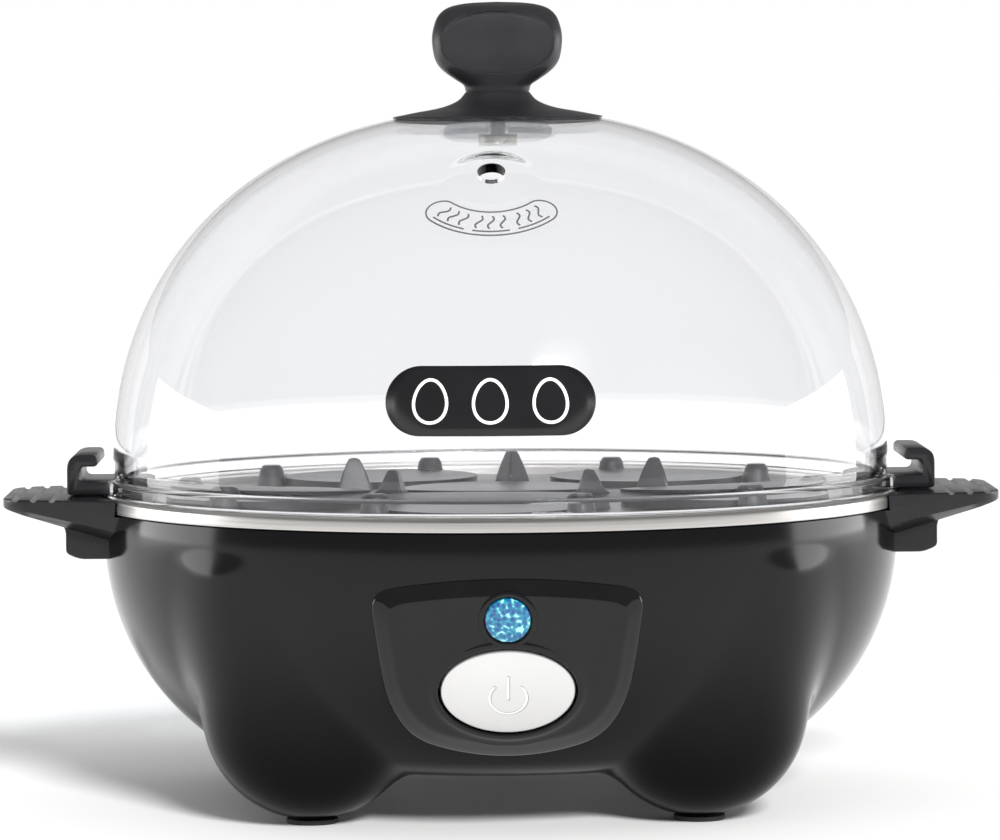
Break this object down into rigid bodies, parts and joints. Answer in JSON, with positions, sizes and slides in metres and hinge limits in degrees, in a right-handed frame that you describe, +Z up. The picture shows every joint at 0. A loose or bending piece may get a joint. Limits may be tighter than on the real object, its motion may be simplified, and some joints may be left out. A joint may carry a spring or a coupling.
{
  "type": "egg cooker",
  "caption": "Round electric egg steamer: black bowl base on lobed feet with a steel heating rim, lift-out egg tray, clear domed lid with knob, front button and lamp.",
  "frame": {"origin": "on the table plane, under the bowl's axis", "axes": "+Z up, -Y out of the front panel, +X toward the right-hand handle seen from the front"},
  "size_m": [0.185, 0.1518, 0.1485],
  "materials": {
    "gloss_black": "moulded, high gloss",
    "panel_black": "moulded, mirror gloss",
    "handle_black": "moulded, semi gloss",
    "cover_black": "fine matt texture",
    "pad_rubber": "matt",
    "zinc_screw": "zinc plated",
    "rim_steel": "brushed round the rim",
    "silicone": "silicone",
    "cast_alloy": "die cast",
    "element_sheath": "annealed sheath",
    "brass": "tinned brass",
    "plated_strip": "plated strip",
    "thermostat_can": "drawn can",
    "fuse_sleeve": "glass fibre sleeve",
    "blue_lens": "prismatic",
    "lamp_glass": "clear",
    "cream_plastic": "matt",
    "button_silver": "satin silver",
    "white_plastic": "acetal",
    "switch_black": "matt",
    "gland_black": "satin",
    "lead_red": "silicone insulation",
    "tray_black": "satin",
    "dome_clear": "clear moulded",
    "washer_clear": "clear moulded",
    "knob_black": "satin"
  },
  "bodies": {
    "base": {"base_shell": "gloss_black", "base_cover": "cover_black", "cover_screws": "zinc_screw", "foot_pad_front_right": "pad_rubber", "foot_pad_rear_right": "pad_rubber", "foot_pad_rear_left": "pad_rubber", "foot_pad_front_left": "pad_rubber", "handle_left": "handle_black", "handle_right": "handle_black", "handle_screws": "zinc_screw", "heater_plate": "rim_steel", "plate_gasket": "silicone", "heat_spreader": "cast_alloy", "heating_element": "element_sheath", "element_terminals": "brass", "plate_standoffs": "plated_strip", "plate_screws": "zinc_screw", "thermostat": "thermostat_can", "thermostat_bracket": "plated_strip", "thermostat_screws": "zinc_screw", "thermal_fuse": "fuse_sleeve", "fuse_clip": "plated_strip", "control_panel": "panel_black", "panel_screws": "zinc_screw", "indicator_lens": "blue_lens", "indicator_lamp": "lamp_glass", "lamp_holder": "cream_plastic", "power_switch": "switch_black", "switch_bracket": "plated_strip", "switch_screws": "zinc_screw", "cord_gland": "gland_black", "gland_nut": "cream_plastic", "terminal_block": "cream_plastic", "inner_leads": "lead_red"},
    "button": {"power_button": "button_silver", "button_plunger": "white_plastic"},
    "tray": {"egg_tray": "tray_black"},
    "lid": {"lid_dome": "dome_clear", "lid_knob": "knob_black", "lid_washer": "washer_clear", "lid_screw": "zinc_screw"}
  },
  "joints": [
    {"name": "button_press", "type": "slide", "parent": "base", "child": "button", "axis": [0, 0.8848, 0.466], "range_m": [0, 0.002], "stiffness_N_per_m": 300},
    {"name": "tray_lift", "type": "slide", "parent": "base", "child": "tray", "axis": [0, 0, 1], "range_m": [0, 0.08]},
    {"name": "lid_lift", "type": "slide", "parent": "tray", "child": "lid", "axis": [0, 0, 1], "range_m": [0, 0.12]}
  ]
}
